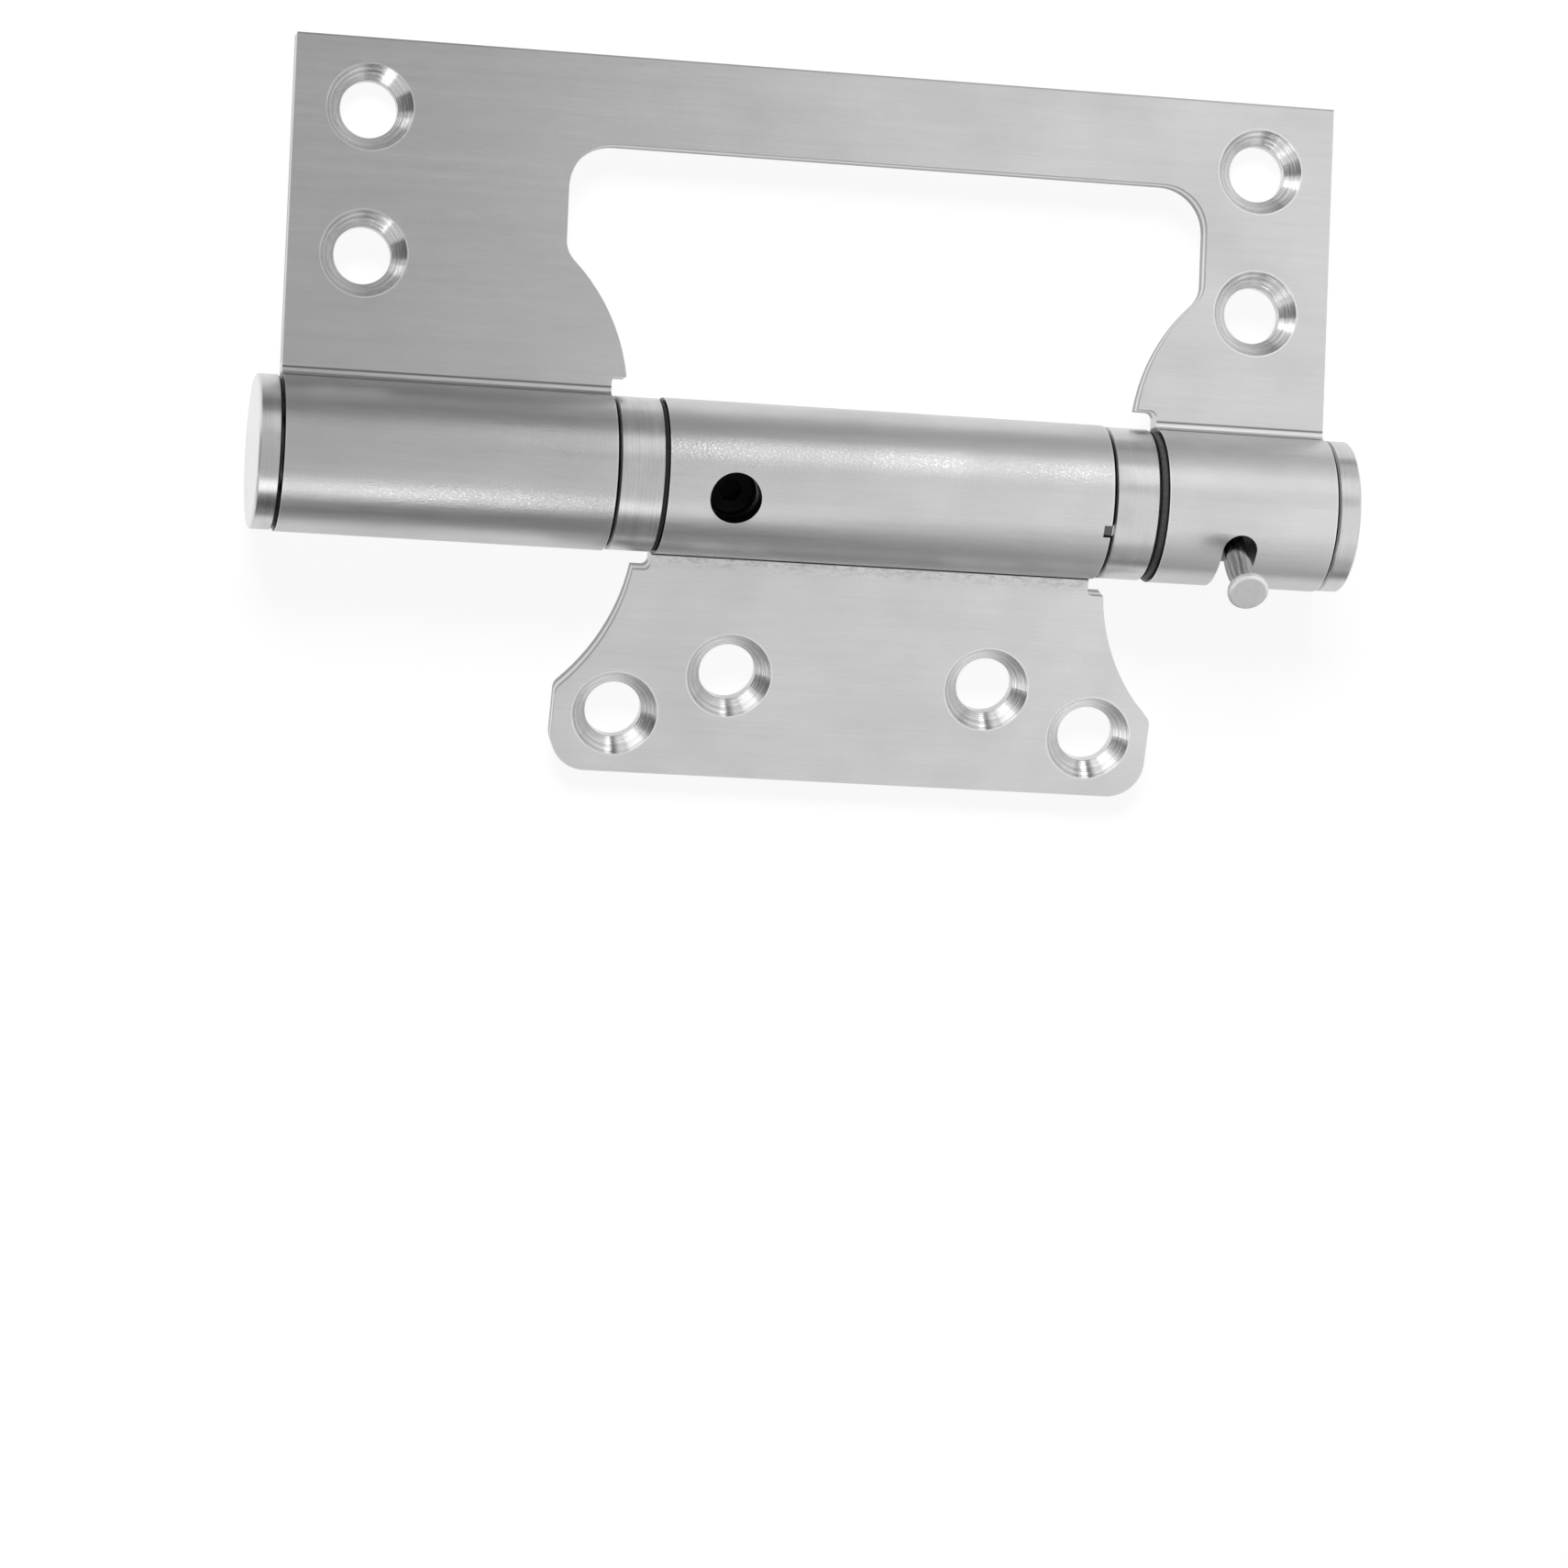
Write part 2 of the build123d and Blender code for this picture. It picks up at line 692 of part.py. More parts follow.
# Winding spindle: mandrel inside the coils, flange against the right collar, square end
mandrel_radius = coil_inside - spring_clearance
mandrel_from = plug_to + mandrel_gap
drum_from = right_knuckle_from + face_gap
drum_to = right_end - cap_spigot - ring_gap
spindle_to = drum_from + drum_square_length
screw_from = spindle_to - screw_length / 2
screw_head_from = screw_from + screw_length
with BuildPart() as winding_spindle:
    turn(
        (mandrel_from, 0),
        (mandrel_from, mandrel_radius - edge_break),
        (mandrel_from + edge_break, mandrel_radius),
        (flange_from, mandrel_radius),
        (flange_from, coil_outside),
        (flange_to, coil_outside),
        (flange_to, spindle_radius),
        (drum_from, spindle_radius),
        (drum_from, 0),
    )
    square_rod(drum_from, spindle_to, drum_square, pin_angle)
    ring(screw_from - face_gap, spindle_to, 0, screw_radius + press_gap, mode=Mode.SUBTRACT)
    tang_pocket(flange_from, 1, right_tang_angle)
winding_spindle.part.label = "winding_spindle"
export_step(winding_spindle.part, "parts/winding_spindle.step")

# Right collar: bearing of the spindle, with a key in the middle knuckle's notch
collar_bore = spindle_radius + running_gap
tab_root = collar_bore + edge_break
tab_from = middle_to - key_length + key_clearance
with BuildPart() as right_collar:
    broken_ring(right_collar_from, right_collar_to, collar_bore, collar_radius)
    ring(spigot_from, right_collar_from, collar_bore, knuckle_fit)
    with BuildSketch(facing_plane((tab_from + right_collar_from) / 2, key_angle, tab_root)):
        Rectangle(right_collar_from - tab_from, key_width - 2 * key_clearance)
    extrude(amount=collar_radius - edge_break - tab_root)
right_collar.part.label = "right_collar"
export_step(right_collar.part, "parts/right_collar.step")

# Winding drum: square bore for the spindle, radial holes for the pin, sunk screw head
pin_x = slot_x - pin_offset
with BuildPart() as winding_drum:
    ring(drum_from, drum_to, 0, knuckle_bore - running_gap)
    square_rod(
        drum_from,
        spindle_to + face_gap,
        drum_square + 2 * press_gap,
        pin_angle,
        mode=Mode.SUBTRACT,
    )
    ring(spindle_to, drum_to, 0, screw_radius + running_gap, mode=Mode.SUBTRACT)
    ring(screw_head_from, drum_to, 0, screw_head_radius + running_gap, mode=Mode.SUBTRACT)
    for hole in range(drum_holes):
        hole_angle = pin_angle + hole * 360 / drum_holes
        radial_bore(pin_x, hole_angle, pin_radius + running_gap, drum_hole_floor)
winding_drum.part.label = "winding_drum"
export_step(winding_drum.part, "parts/winding_drum.step")

with BuildPart() as drum_screw:
    ring(screw_from, screw_head_from, 0, screw_radius)
    ring(screw_head_from, screw_head_from + screw_head_height, 0, screw_head_radius)
    with BuildSketch(section_plane(screw_head_from + screw_head_height)):
        RegularPolygon(hex_across / 2, 6, major_radius=False)
    extrude(amount=-hex_depth, mode=Mode.SUBTRACT)
drum_screw.part.label = "drum_screw"
export_step(drum_screw.part, "parts/drum_screw.step")

# Tension pin: through the winding slot into the drum, with a flat head outside
pin_seat = drum_hole_floor + pin_tip_gap
pin_length = barrel_radius + pin_stand - pin_seat
with BuildPart() as tension_pin:
    with BuildSketch(facing_plane(pin_x, pin_angle, pin_seat)):
        Circle(pin_radius)
    extrude(amount=pin_length)
    circles = tension_pin.edges().filter_by(GeomType.CIRCLE)
    chamfer(circles.sort_by_distance(barrel_axis.position)[0], pin_edge)
    with BuildSketch(facing_plane(pin_x, pin_angle, pin_seat + pin_length)):
        Circle(pin_head_radius)
    extrude(amount=pin_head_height)
    fillet(tension_pin.edges().filter_by(GeomType.CIRCLE).group_by(SortBy.RADIUS)[-1], pin_edge)
tension_pin.part.label = "tension_pin"
export_step(tension_pin.part, "parts/tension_pin.step")
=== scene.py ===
from math import cos, degrees, radians, sin, tan

import bpy
from mathutils import Matrix, Vector

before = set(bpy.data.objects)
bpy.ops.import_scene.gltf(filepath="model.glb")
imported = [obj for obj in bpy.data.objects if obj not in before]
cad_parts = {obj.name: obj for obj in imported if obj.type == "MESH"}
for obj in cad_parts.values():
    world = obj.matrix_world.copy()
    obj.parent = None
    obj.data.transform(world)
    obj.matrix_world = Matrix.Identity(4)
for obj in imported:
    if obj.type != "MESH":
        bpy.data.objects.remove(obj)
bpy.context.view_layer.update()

# The barrel's axis runs along X through this point, in metres
AXIS_Y = -0.00647
AXIS_Z = 0.0093

# Sizes on the hinge, in millimetres, and directions across it as (Y, Z)
BARREL_RADIUS = 9.3
HALF_SHEET = 1.5
# End faces in the gaps of the barrel show outside of this radius
GAP_RADIUS = 6.5
OUTER_OUT = (0.98755, -0.15732)
INNER_OUT = (-0.97720, -0.21231)
# Distance from the axis to the outer leaf's far edge
OUTER_REACH = 49.7
# Distances from the axis, where each leaf meets its knuckles: painted highlight strip and painted shade lines
# of the outer one, painted shade at the seam of the inner one and patchy darkening beside it, and where the
# plates begin
CREASE_STRIP = 9.55
CREASE_LINES = (9.02, 10.04)
SEAM_LINE = 9.32
SEAM_DARKENING = (9.4, 11.3)
PLATE_FROM = 10.6
# Centres of the countersinks on each leaf: station along the barrel and distance from its axis
OUTER_SINKS = ((-54.5, 24.0), (-54.5, 41.4), (54.5, 24.0), (54.5, 41.4))
INNER_SINKS = ((-7.125, 24.0), (24.775, 24.0), (-20.575, 29.5), (38.225, 29.5))
SINK_RADIUS = 5.15
# Stations of the ends of knuckles, rings and caps
OUTER_ENDS = (-63.5, -24.35, 42.6, 63.5)
INNER_ENDS = (-18.1, 35.75)
LEFT_COLLAR = (-24.05, -18.5)
RIGHT_COLLAR = (36.05, 41.55)
RIGHT_COLLAR_KEY = 36.0
NYLON_WASHER = (41.65, 42.6)
CAP_RIMS = (-63.8, 63.8)
CAP_FACE = 66.5
# Tension pin: direction of its axis and across it, station, where its head begins along it, and the inner
# and outer edge of its head's rim
PIN_OUT = (-0.5255, 0.8508)
PIN_ACROSS = (0.8508, 0.5255)
PIN_STATION = 51.65
PIN_HEAD = 16.2
PIN_RIM = (2.0, 2.1)

# Blue of steel against its red and green
STEEL_BLUE = 1.006
# Grey of painted highlights on the knuckles' ends and round the holes
RIM_HIGHLIGHT = 0.86


class Nodes:
    """Short hand for building one node tree"""

    def __init__(self, tree):
        self.tree = tree
        tree.nodes.clear()

    def add(self, kind, **settings):
        node = self.tree.nodes.new(kind)
        for name, value in settings.items():
            setattr(node, name, value)
        return node

    def link(self, source, target):
        self.tree.links.new(source, target)

    def value(self, socket, item):
        if isinstance(item, (int, float, tuple)):
            socket.default_value = item
        else:
            self.link(item, socket)

    def math(self, operation, first, second=0.0):
        node = self.add("ShaderNodeMath", operation=operation)
        self.value(node.inputs[0], first)
        self.value(node.inputs[1], second)
        return node.outputs[0]

    def times(self, *items):
        """Product of all items"""
        product = items[0]
        for item in items[1:]:
            product = self.math("MULTIPLY", product, item)
        return product

    def sum(self, *terms):
        """Sum of (factor, item) products"""
        total = self.times(*terms[0])
        for term in terms[1:]:
            total = self.math("ADD", total, self.times(*term))
        return total

    def length(self, first, second):
        return self.math("SQRT", self.sum((first, first), (second, second)))

    def span(self, item, low, high, to_low=0.0, to_high=1.0):
        """Maps low..high to to_low..to_high, clamped"""
        node = self.add("ShaderNodeMapRange", clamp=True)
        self.value(node.inputs["Value"], item)
        for name, number in (("From Min", low), ("From Max", high), ("To Min", to_low), ("To Max", to_high)):
            node.inputs[name].default_value = number
        return node.outputs[0]

    def spread(self, noise, to_low=0.0, to_high=1.0):
        """Maps the range that a noise mostly keeps to"""
        return self.span(noise, 0.3, 0.7, to_low, to_high)

    def band(self, item, middle, half, soft):
        """1 within half of the middle, falling to 0 over soft"""
        away = self.math("ABSOLUTE", self.math("SUBTRACT", item, middle))
        return self.span(away, half, half + soft, 1.0, 0.0)

    def vector(self, x, y, z):
        node = self.add("ShaderNodeCombineXYZ")
        for socket, item in zip(node.inputs, (x, y, z)):
            self.value(socket, item)
        return node.outputs[0]

    def grey(self, shade, blue):
        """Grey of this shade, with its blue times this"""
        return self.vector(shade, shade, self.times(shade, blue))

    def split(self, item):
        node = self.add("ShaderNodeSeparateXYZ")
        self.link(item, node.inputs[0])
        return node.outputs

    def place(self):
        """X along the barrel, Y and Z from its axis, in millimetres"""
        node = self.add("ShaderNodeTexCoord")
        x, y, z = [self.times(out, 1000.0) for out in self.split(node.outputs["Object"])]
        return x, self.math("SUBTRACT", y, 1000 * AXIS_Y), self.math("SUBTRACT", z, 1000 * AXIS_Z)

    def normal(self):
        """Surface normal on the object at rest"""
        return self.split(self.add("ShaderNodeTexCoord").outputs["Normal"])

    def noise(self, x, y, z, scale, detail=3.0, rough=0.6):
        """Noise of this many spots per millimetre along each direction"""
        node = self.add("ShaderNodeTexNoise")
        x, y, z = [self.times(item, factor) for item, factor in zip((x, y, z), scale)]
        self.link(self.vector(x, y, z), node.inputs["Vector"])
        node.inputs["Scale"].default_value = 1.0
        node.inputs["Detail"].default_value = detail
        node.inputs["Roughness"].default_value = rough
        return node.outputs[0]

    def mix(self, share, first, second):
        """Mixes two numbers"""
        node = self.add("ShaderNodeMix", data_type="FLOAT")
        self.value(node.inputs[0], share)
        self.value(node.inputs[2], first)
        self.value(node.inputs[3], second)
        return node.outputs[0]

    def colour(self, share, first, second):
        """Mixes two colours"""
        node = self.add("ShaderNodeMix", data_type="RGBA")
        self.value(node.inputs[0], share)
        self.value(node.inputs[6], first)
        self.value(node.inputs[7], second)
        return node.outputs[2]

    def bump(self, height, strength, distance):
        node = self.add("ShaderNodeBump")
        self.link(height, node.inputs["Height"])
        node.inputs["Strength"].default_value = strength
        node.inputs["Distance"].default_value = distance
        return node.outputs[0]

    def surface(self, shader, output="ShaderNodeOutputMaterial"):
        """Ends the tree in this shader"""
        self.link(shader.outputs[0], self.add(output).inputs["Surface"])


def blank(name):
    """New material with an empty tree"""
    made = bpy.data.materials.new(name)
    made.use_nodes = True
    return made, Nodes(made.node_tree)


def material(name, metallic=1.0):
    """New material with a Principled shader; returns it, its tree and the shader"""
    made, tree = blank(name)
    shader = tree.add("ShaderNodeBsdfPrincipled")
    shader.inputs["Metallic"].default_value = metallic
    tree.surface(shader)
    return made, tree, shader


def coat(tree, shader, colour, rough, normal):
    """Links the shader's colour, roughness and bumped normal"""
    tree.link(colour, shader.inputs["Base Color"])
    tree.link(rough, shader.inputs["Roughness"])
    tree.link(normal, shader.inputs["Normal"])


def brush(tree, shader, tangent):
    """Draws the gloss out across the grain, which runs along this tangent"""
    tree.link(tangent, shader.inputs["Tangent"])
    shader.inputs["Anisotropic"].default_value = 0.5
    shader.inputs["Anisotropic Rotation"].default_value = 0.25


def gap_shade(tree, x):
    """Grey of the painted shade on walls in gaps and slots: near black, lighter at the winding slot's right
    wall
    """
    return tree.span(x, 46.0, 58.0, 0.03, 0.4)


class Leaf:
    """Material of one leaf and its knuckles, with coordinates in millimetres"""

    def __init__(self, name, out):
        self.made, self.tree, self.shader = material(name)
        out_y, out_z = out
        up_y, up_z = self.up = (-out_z, out_y) if out_y > 0 else (out_z, -out_y)
        self.x, self.y, self.z = self.tree.place()
        self.depth = self.tree.sum((out_y, self.y), (out_z, self.z))
        self.height = self.tree.sum((up_y, self.y), (up_z, self.z))
        self.radius = self.tree.length(self.y, self.z)
        self.knuckle = self.tree.span(self.radius, BARREL_RADIUS + 0.05, BARREL_RADIUS + 0.3, 1.0, 0.0)
        self.top = self.tree.span(self.height, HALF_SHEET - 0.2, HALF_SHEET - 0.05)

    def noise(self, scale, detail=3.0, rough=0.6):
        return self.tree.noise(self.x, self.y, self.z, scale, detail, rough)

    def groove(self, shade, lines, dark):
        """Paints shade on these lines between the knuckle and the plate, on the upper face only"""
        tree = self.tree
        upper = tree.times(tree.span(self.height, HALF_SHEET - 0.3, HALF_SHEET - 0.05),
                           tree.span(self.depth, BARREL_RADIUS - 0.7, BARREL_RADIUS - 0.5))
        return tree.times(shade, tree.span(tree.times(lines, upper), 0.0, 1.0, 1.0, dark))


def crease(leaf, shade):
    """Outer leaf: a painted highlight strip between two lines of painted shade where it meets its knuckles"""
    tree = leaf.tree
    near, far = CREASE_LINES
    # Painted highlight strip on the bend, painted shade on the lines beside it
    strip = tree.times(tree.band(leaf.depth, CREASE_STRIP, 0.3, 0.1),
                       tree.span(leaf.height, HALF_SHEET - 0.2, HALF_SHEET))
    lower = tree.times(tree.band(leaf.depth, near, 0.03, 0.12), tree.band(leaf.height, 2.2, 0.25, 0.2))
    lines = tree.math("MAXIMUM", tree.band(leaf.depth, far, 0.06, 0.14), lower)
    return leaf.groove(tree.mix(strip, shade, 0.76), lines, 0.36)


def seam(leaf, shade):
    """Inner leaf: a thin line of painted shade at the seam along its knuckle, with patchy darkening beside it
    """
    tree = leaf.tree
    blotch = tree.noise(leaf.x, leaf.depth, leaf.height, (0.9, 2.4, 2.4), 4.0, 0.8)
    # Painted shade on the seam line, and patchy darkening that fades away from it
    lines = tree.math("MAXIMUM", tree.band(leaf.depth, SEAM_LINE, 0.06, 0.1),
                      tree.times(tree.span(leaf.depth, *SEAM_DARKENING, 0.42, 0.0), tree.span(blotch, 0.46, 0.64)))
    return leaf.groove(shade, lines, 0.08)


def grit_and_sparkle_share(leaf, sparkle_angle):
    """Share of gritty relief and of painted sparkle: patches on the knuckles, strongest near the angle round
    the barrel where their highlight band lies
    """
    tree = leaf.tree
    patch = leaf.noise((0.07, 0.16, 0.16), 2.0, 0.5)
    angle = tree.times(tree.math("ARCTAN2", leaf.z, leaf.y), degrees(1))
    near = tree.band(angle, sparkle_angle, 4.0, 12.0)
    return tree.times(tree.span(patch, 0.36, 0.52, 0.6, 1.0), tree.span(leaf.x, 36.0, 44.0, 1.0, 0.4),
                      leaf.knuckle, tree.span(near, 0.0, 1.0, 0.12, 1.0))


def edge_light_and_shade(leaf, shade, turned_y, turned_z):
    """Edges of the sheet: painted shade on their faces, with a painted highlight line along the middle, and a
    dark line along the far edge
    """
    tree = leaf.tree
    up_y, up_z = leaf.up
    facing = tree.math("ABSOLUTE", tree.sum((up_y, turned_y), (up_z, turned_z)))
    # Edge faces get painted shade, with a painted highlight line along their middle
    edge = tree.times(tree.span(facing, 0.45, 0.6, 1.0, 0.0),
                      tree.span(leaf.depth, PLATE_FROM, PLATE_FROM + 0.3))
    line = tree.band(leaf.height, 0.2, 0.25, 0.5)
    shade = tree.mix(tree.times(edge, 0.8), shade, tree.mix(line, 0.26, 0.80))
    far = tree.times(tree.span(leaf.depth, OUTER_REACH - 0.3, OUTER_REACH - 0.1), leaf.top)
    return tree.mix(tree.times(far, 0.8), shade, 0.4)


def knuckle_ends(leaf, shade, turned_y, turned_z, ends):
    """Painted highlights on the ends of the knuckles, and painted shade on the walls in their gaps, slots and
    holes
    """
    tree = leaf.tree
    # Painted highlight along each knuckle's end
    for end in ends:
        rim = tree.times(tree.band(leaf.x, end, 0.10, 0.12), leaf.knuckle)
        shade = tree.math("MAXIMUM", shade, tree.times(rim, RIM_HIGHLIGHT))
    # Painted shade on faces that turn away from the axis: walls of gaps, slots and holes
    outward = tree.math("DIVIDE", tree.sum((turned_y, leaf.y), (turned_z, leaf.z)), leaf.radius)
    wall = tree.times(tree.span(tree.math("ABSOLUTE", outward), 0.5, 0.8, 1.0, 0.0), leaf.knuckle)
    return tree.mix(wall, shade, gap_shade(tree, leaf.x))


def countersinks(leaf, shade, centres, dark):
    """Turned rings, a painted highlight on the rim round each hole, and painted light growing from left to
    right.

    Returns the shade, the share that is countersink, the rings, and the offset from the hole's centre."""
    tree = leaf.tree
    across = [tree.math("SUBTRACT", leaf.x, station) for station, _ in centres]
    along = [tree.math("SUBTRACT", leaf.depth, depth) for _, depth in centres]
    distances = [tree.length(*offset) for offset in zip(across, along)]
    masks = [tree.span(distance, SINK_RADIUS, SINK_RADIUS + 0.02, 1.0, 0.0) for distance in distances]
    # Painted highlight on the rim round each hole
    for distance in distances:
        rim = tree.times(leaf.top, tree.band(distance, SINK_RADIUS + 0.1, 0.05, 0.08))
        shade = tree.math("MAXIMUM", shade, tree.times(rim, RIM_HIGHLIGHT))
    ring_x = tree.sum(*zip(masks, across))
    ring_depth = tree.sum(*zip(masks, along))
    reach = tree.sum(*zip(masks, distances))
    inside = tree.sum(*((1.0, mask) for mask in masks))
    sunk = tree.times(inside, tree.span(leaf.height, 0.02 - HALF_SHEET, 0.05 - HALF_SHEET))
    lathe = tree.noise(reach, ring_x, ring_depth, (3.2, 0.1, 0.1), 3.0, 0.75)
    # Grey of the rings, rising from left to right as painted light
    cut = tree.times(tree.span(lathe, 0.38, 0.62, dark, 0.90), tree.span(leaf.x, -30.0, 50.0, 0.98, 1.1))
    lip = tree.times(sunk, tree.band(reach, SINK_RADIUS - 0.18, 0.05, 0.1))
    shade = tree.mix(tree.times(lip, 0.45), tree.mix(sunk, shade, cut), 0.5)
    return shade, sunk, lathe, ring_x, ring_depth


def brushed_sheet(name, out, joint, sinks, ends, tone, sparkle_angle, coarse, dark_cut):
    """A leaf and its knuckles: grain along the barrel, turned countersinks, painted light and shade at edges,
    ends and joints.

    joint paints light and shade where the leaf meets its knuckles, sparkle_angle is where their grit and
    painted sparkle are strongest, coarse is the relief of their grit, and dark_cut the darkest grey in the
    countersinks."""
    leaf = Leaf(name, out)
    tree = leaf.tree
    out_y, out_z = out
    turned_y, turned_z = tree.normal()[1:]

    # Grain and grit of the whole sheet, with painted glints on the knuckles
    fine = leaf.noise((0.25, 9.0, 9.0), 4.0)
    broad = leaf.noise((0.03, 1.5, 1.5), 3.0, 0.5)
    smudge = leaf.noise((0.09, 0.09, 0.09), 3.0, 0.5)
    cloud = leaf.noise((0.05, 0.2, 0.2), 3.0, 0.55)
    grit = leaf.noise((3.0, 4.6, 4.6), 2.0)
    grain = tree.mix(0.35, fine, broad)
    grit_and_sparkle = grit_and_sparkle_share(leaf, sparkle_angle)
    glint = tree.times(tree.span(grit, 0.50, 0.64), grit_and_sparkle)
    # Painted glints brighten the grey where the grit meets the sparkle share
    shade = tree.times(tree.mix(tree.spread(grain), 0.945 * tone, 1.055 * tone),
                       tree.span(smudge, 0.42, 0.75, 1.02, 0.94),
                       tree.span(cloud, 0.35, 0.65, 0.98, 1.02),
                       tree.span(glint, 0.0, 1.0, 1.0, 1.13))

    # Places with a look of their own, mostly painted light and shade
    shade = joint(leaf, shade)
    shade = edge_light_and_shade(leaf, shade, turned_y, turned_z)
    shade = knuckle_ends(leaf, shade, turned_y, turned_z, ends)
    shade, sunk, lathe, ring_x, ring_depth = countersinks(leaf, shade, sinks, dark_cut)

    rough = tree.sum((1.0, tree.spread(grain, 0.27, 0.33)), (0.03, tree.span(smudge, 0.4, 0.7)),
                     (-0.08, glint), (0.03, leaf.knuckle), (-0.03, grit_and_sparkle))
    relief = tree.sum((0.25, fine), (tree.mix(grit_and_sparkle, 0.25, coarse), grit))
    relief = tree.mix(sunk, relief, tree.times(lathe, 1.2))
    coat(tree, leaf.shader, tree.grey(shade, STEEL_BLUE), tree.mix(sunk, rough, 0.20),
         tree.bump(relief, 1.0, 0.00003))

    # The grain runs along the barrel, and round each hole in the countersinks
    plain = tree.math("SUBTRACT", 1.0, sunk)
    swirl = tree.times(sunk, ring_x)
    brush(tree, leaf.shader, tree.vector(tree.math("SUBTRACT", plain, tree.times(sunk, ring_depth)),
                                         tree.times(swirl, out_y), tree.times(swirl, out_z)))
    return leaf.made


def turned(name, dark, light, low_rough, high_rough, pitch=7.0, rims=(), key=None, open_from=0.0,
           outer_face=0.0):
    """Turned metal: fine rings round the barrel's axis and painted highlights on rims.

    Faces in gaps get painted shade: those nearer to the middle than open_from, and the key, left of its
    station.
    outer_face is the lighter grey painted on a cap's outer end face, as painted light."""
    made, tree, shader = material(name)
    x, y, z = tree.place()
    off_middle = tree.math("ABSOLUTE", x)
    radius = tree.length(y, z)
    across = tree.math("ABSOLUTE", tree.normal()[0])
    in_gap = tree.span(radius, GAP_RADIUS - 0.1, GAP_RADIUS + 0.1)
    end_face = tree.span(across, 0.6, 0.8)
    lathe = tree.noise(x, tree.times(radius, across), y, (pitch, pitch, 0.08))
    patch = tree.noise(x, y, z, (0.3, 0.3, 0.3), 3.0, 0.5)
    shade = tree.times(tree.span(lathe, 0.32, 0.68, dark, light), tree.span(patch, 0.5, 0.8, 1.0, 0.85))
    # Painted highlights on the rims
    for rim in rims:
        edge = tree.times(tree.band(x, rim, 0.12, 0.14),
                          tree.span(radius, BARREL_RADIUS - 0.6, BARREL_RADIUS - 0.5))
        shade = tree.math("MAXIMUM", shade, tree.times(edge, 0.88))
    # Cap's outer end face painted lighter, as painted light
    if outer_face:
        face = tree.times(end_face, tree.span(off_middle, CAP_FACE - 0.2, CAP_FACE - 0.1))
        shade = tree.mix(face, shade, outer_face)
    # Painted shade on end faces inside the gaps
    if open_from:
        hidden = tree.span(off_middle, open_from - 0.1, open_from, 1.0, 0.0)
        shade = tree.mix(tree.times(end_face, hidden, in_gap), shade, gap_shade(tree, x))
    # Painted shade on the key in its notch
    if key is not None:
        notch = tree.times(tree.span(x, key - 0.05, key, 1.0, 0.0), in_gap)
        shade = tree.mix(notch, shade, 0.13)
    rough = tree.spread(tree.mix(0.4, lathe, patch), low_rough, high_rough)
    coat(tree, shader, tree.grey(shade, STEEL_BLUE), rough, tree.bump(lathe, 0.4, 0.00003))
    brush(tree, shader, tree.add("ShaderNodeTangent", direction_type="RADIAL", axis="X").outputs[0])
    return made


def drawn_pin():
    """Tension pin: streaks along its own length, faced head with a painted highlight on one side of its rim
    """
    made, tree, shader = material("drawn_pin")
    x, y, z = tree.place()
    along = tree.sum((PIN_OUT[0], y), (PIN_OUT[1], z))
    across = tree.sum((PIN_ACROSS[0], y), (PIN_ACROSS[1], z))
    streak = tree.noise(x, across, along, (3.5, 3.5, 0.25))
    face = tree.noise(x, across, along, (1.2, 1.2, 1.2), 4.0)
    head = tree.span(along, PIN_HEAD - 0.1, PIN_HEAD + 0.1)
    shade = tree.mix(head, tree.span(streak, 0.35, 0.65, 0.34, 0.60), tree.spread(face, 0.70, 0.78))
    reach = tree.length(tree.math("SUBTRACT", x, PIN_STATION), across)
    # Painted highlight on one side of the head's rim
    rim = tree.times(tree.span(reach, *PIN_RIM), tree.span(across, -0.6, 0.8))
    shade = tree.mix(tree.times(head, rim), shade, 0.95)
    coat(tree, shader, tree.grey(shade, 1.008), tree.mix(head, tree.spread(streak, 0.16, 0.3), 0.5),
         tree.bump(tree.mix(head, streak, face), 0.3, 0.00004))
    return made


def black_oxide():
    """Socket screws: blackened steel, dull"""
    made, tree, shader = material("black_oxide", 0.0)
    cloud = tree.noise(*tree.place(), (1.2, 1.2, 1.2), 4.0)
    coat(tree, shader,
         tree.colour(tree.spread(cloud), (0.004, 0.004, 0.0045, 1), (0.012, 0.012, 0.0125, 1)),
         tree.spread(cloud, 0.6, 0.8), tree.bump(cloud, 0.2, 0.00003))
    shader.inputs["Specular IOR Level"].default_value = 0.1
    return made


def moulded(name, dark, light, rough, rims=()):
    """Moulded plastic or rubber, with painted shade along its rims"""
    made, tree, shader = material(name, 0.0)
    x, y, z = tree.place()
    grain = tree.noise(x, y, z, (2.5, 2.5, 2.5))
    shade = tree.spread(grain, dark, light)
    # Painted shade along the rims, where the part meets its neighbours
    for rim in rims:
        shade = tree.mix(tree.band(x, rim, 0.12, 0.15), shade, 0.004)
    coat(tree, shader, tree.grey(shade, 1.03), tree.spread(grain, rough - 0.08, rough + 0.08),
         tree.bump(grain, 0.25, 0.00004))
    return made


def spring_wire():
    """Torsion spring: blued wire with streaks round the coil"""
    made, tree, shader = material("spring_wire")
    x, y, z = tree.place()
    streak = tree.noise(x, tree.length(y, z), y, (2.5, 6.0, 0.2))
    coat(tree, shader, tree.colour(tree.spread(streak), (0.16, 0.17, 0.20, 1), (0.28, 0.29, 0.33, 1)),
         tree.spread(streak, 0.3, 0.45), tree.bump(streak, 0.25, 0.00004))
    return made


def dress(made, *nodes):
    """Gives CAD nodes their material"""
    for node in nodes:
        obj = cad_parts[node]
        obj.data.materials.clear()
        obj.data.materials.append(made)


